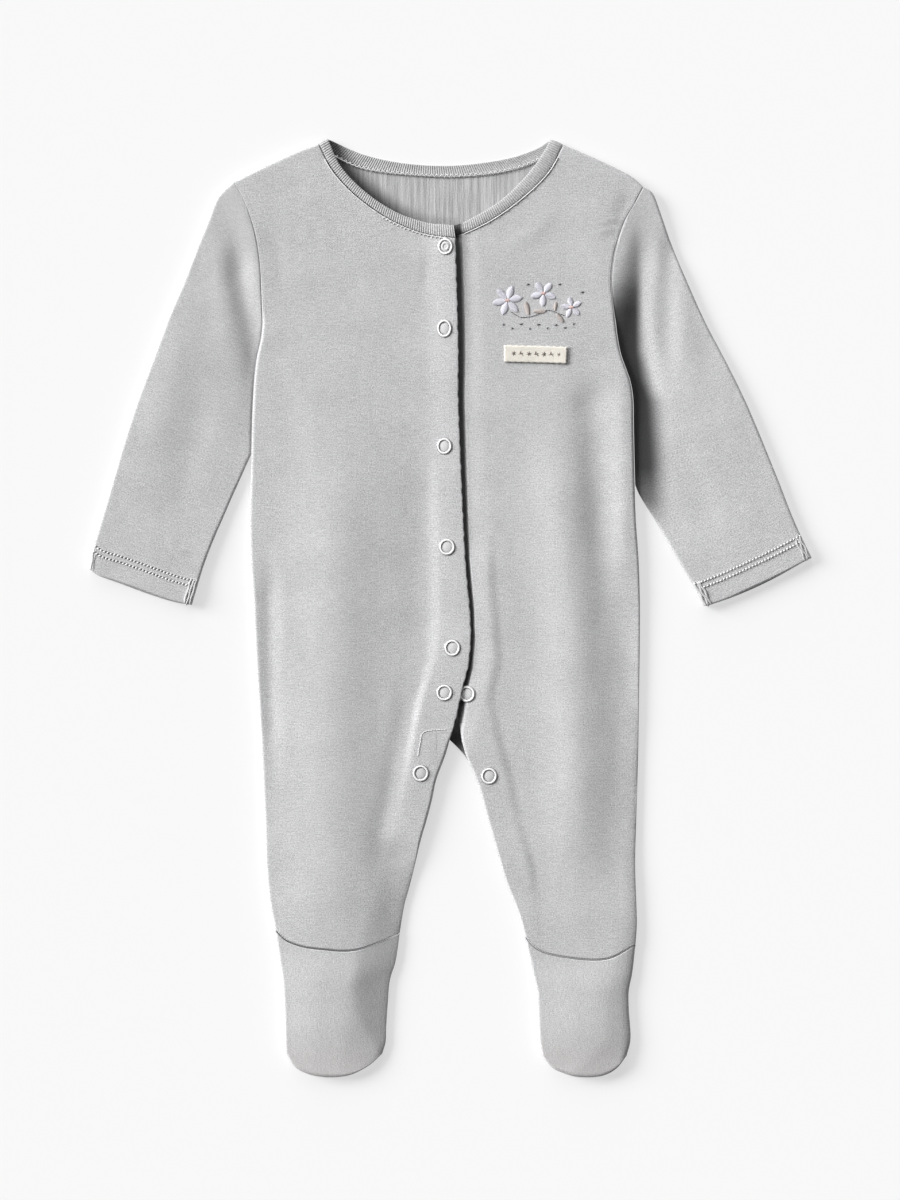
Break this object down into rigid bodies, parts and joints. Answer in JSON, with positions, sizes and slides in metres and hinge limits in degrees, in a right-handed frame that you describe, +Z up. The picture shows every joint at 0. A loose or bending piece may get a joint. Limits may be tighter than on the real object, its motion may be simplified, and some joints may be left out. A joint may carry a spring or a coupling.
{
  "type": "footed baby sleepsuit",
  "caption": "Long-sleeved footed sleepsuit in soft jersey, laid flat, with a popper-fastened front opening that splits to both inside legs and a ribbed neck band.",
  "frame": {"origin": "centre of the bounding box in plan, on the plane the garment's back lies on", "axes": "+Y from the feet towards the neck, +X towards the wearer's left, +Z up out of the surface, through the thickness"},
  "size_m": [0.412, 0.535, 0.0089],
  "materials": {
    "jersey": "matt heather knit",
    "rib": "matt fine rib knit",
    "cream_cotton": "matt woven tape",
    "pearl_cap": "pearl enamel"
  },
  "bodies": {
    "root": {"back": "jersey", "front_right": "jersey", "front_left": "jersey", "sleeve_right": "jersey", "sleeve_left": "jersey", "foot_top_right": "jersey", "foot_top_left": "jersey", "foot_sole_right": "jersey", "foot_sole_left": "jersey", "neck_binding": "rib", "chest_tab": "cream_cotton", "popper_1": "pearl_cap", "popper_2": "pearl_cap", "popper_3": "pearl_cap", "popper_4": "pearl_cap", "popper_5": "pearl_cap", "popper_6": "pearl_cap", "popper_7": "pearl_cap", "popper_8": "pearl_cap", "popper_9": "pearl_cap"}
  },
  "joints": []
}
